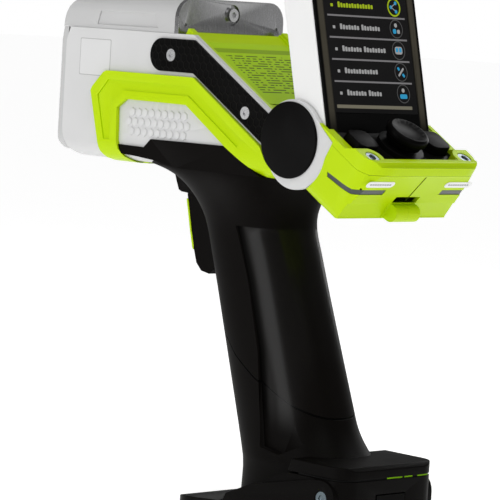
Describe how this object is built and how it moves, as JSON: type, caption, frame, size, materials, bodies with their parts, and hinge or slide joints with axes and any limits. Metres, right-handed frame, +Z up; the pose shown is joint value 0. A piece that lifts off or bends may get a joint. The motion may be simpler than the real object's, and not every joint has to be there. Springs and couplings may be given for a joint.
{
  "type": "handheld x-ray fluorescence analyzer",
  "caption": "Pistol-grip X-ray fluorescence analyser with a long measuring nose, a flip-up touch display over a sloping bay, a keypad chin, a trigger and a battery foot.",
  "frame": {"origin": "centre of the foot's flat underside", "axes": "+Z up along the height, +X towards the operator (the nose points to -X), +Y to the instrument's right"},
  "size_m": [0.2104, 0.0728, 0.2621],
  "materials": {
    "shell_grey": "fine moulded grain, light grey",
    "cover_grey": "fine moulded grain, lighter grey",
    "plate_metal": "brushed",
    "screw_steel": "turned",
    "seal_black": "matt",
    "lime": "fine moulded grain, lime",
    "lime_seal": "matt",
    "trim_black": "hexagon texture",
    "cap_black": "satin",
    "steel": "turned",
    "frame_metal": "machined",
    "film": "thin film",
    "ceramic": "cast",
    "brass": "plated",
    "motor_grey": "painted",
    "potting": "cast resin",
    "board_green": "lacquered",
    "grip_black": "soft overmould",
    "sleeve_black": "satin",
    "lens": "moulded light guide",
    "key_black": "soft keys",
    "display_white": "smooth",
    "bezel_black": "polished",
    "screen_glass": "screen",
    "foot_black": "fine moulded grain",
    "cell_blue": "shrink sleeve"
  },
  "bodies": {
    "frame": {"side_shell_left": "shell_grey", "side_shell_right": "shell_grey", "nose_cover": "cover_grey", "bulkhead_plate": "plate_metal", "bulkhead_screw": "screw_steel", "bay_gasket": "seal_black", "bay_tray": "lime", "bay_screws": "screw_steel", "chassis": "lime", "bumper_left": "lime", "bumper_right": "lime", "strap_trim_left": "trim_black", "strap_trim_right": "trim_black", "strap_screws": "screw_steel", "pivot_cap_left": "cap_black", "pivot_cap_right": "cap_black", "hinge_pins": "steel", "nose_plate": "cover_grey", "window_frame": "frame_metal", "window_film": "film", "plunger_spring": "steel", "engine_frame": "frame_metal", "xray_tube": "ceramic", "detector": "steel", "filter_motor": "motor_grey", "camera_module": "trim_black", "hv_supply": "potting", "main_board": "board_green", "grip_left": "grip_black", "grip_right": "grip_black", "handle_sleeve": "sleeve_black", "trigger_pin": "steel", "trigger_switch": "trim_black", "chin_rim": "lime", "chin_left": "lime", "chin_right": "lime", "light_bars": "lens", "rim_screws": "screw_steel", "keypad_deck": "cap_black", "keypad_board": "board_green", "foot_cover": "foot_black", "foot_gasket": "lime_seal", "foot_shell": "foot_black", "foot_screws": "screw_steel", "battery_contacts": "brass"},
    "display": {"display_housing": "display_white", "display_bezel": "bezel_black", "display_glass": "screen_glass", "lcd_panel": "motor_grey"},
    "trigger": {"trigger": "grip_black", "trigger_insert": "lime", "trigger_spring": "steel"},
    "nav_pad": {"nav_pad": "key_black"},
    "left_button": {"left_button": "key_black"},
    "right_button": {"right_button": "key_black"},
    "plunger": {"proximity_plunger": "trim_black"},
    "battery": {"battery_pack": "cell_blue", "battery_cap": "foot_black"},
    "latch": {"battery_latch": "key_black"},
    "filter_wheel": {"filter_wheel": "brass"}
  },
  "joints": [
    {"name": "display_tilt", "type": "hinge", "parent": "frame", "child": "display", "pos_m": [0.015, 0, 0.17], "axis": [0, -1, 0], "range_deg": [0, 45]},
    {"name": "trigger_pull", "type": "hinge", "parent": "frame", "child": "trigger", "pos_m": [-0.058, 0, 0.141], "axis": [0, -1, 0], "range_deg": [0, 7], "stiffness_Nm_per_rad": 0.4, "springref_deg": -22.92},
    {"name": "nav_press", "type": "slide", "parent": "frame", "child": "nav_pad", "axis": [-0.5225, 0, -0.8526], "range_m": [0, 0.0008], "stiffness_N_per_m": 900, "springref_m": -0.001},
    {"name": "left_button_press", "type": "slide", "parent": "frame", "child": "left_button", "axis": [-0.5225, 0, -0.8526], "range_m": [0, 0.0008], "stiffness_N_per_m": 700, "springref_m": -0.001},
    {"name": "right_button_press", "type": "slide", "parent": "frame", "child": "right_button", "axis": [-0.5225, 0, -0.8526], "range_m": [0, 0.0008], "stiffness_N_per_m": 700, "springref_m": -0.001},
    {"name": "plunger_press", "type": "slide", "parent": "frame", "child": "plunger", "axis": [1, 0, 0], "range_m": [0, 0.0025], "stiffness_N_per_m": 300, "springref_m": -0.002},
    {"name": "battery_slide", "type": "slide", "parent": "frame", "child": "battery", "axis": [0.3289, 0, -0.9444], "range_m": [0, 0.06]},
    {"name": "latch_press", "type": "slide", "parent": "frame", "child": "latch", "axis": [-1, 0, 0], "range_m": [0, 0.0025], "stiffness_N_per_m": 400, "springref_m": -0.002},
    {"name": "filter_wheel_turn", "type": "hinge", "parent": "frame", "child": "filter_wheel", "pos_m": [-0.1268, 0.0124, 0.1965], "axis": [1, 0, 0], "continuous": true}
  ]
}
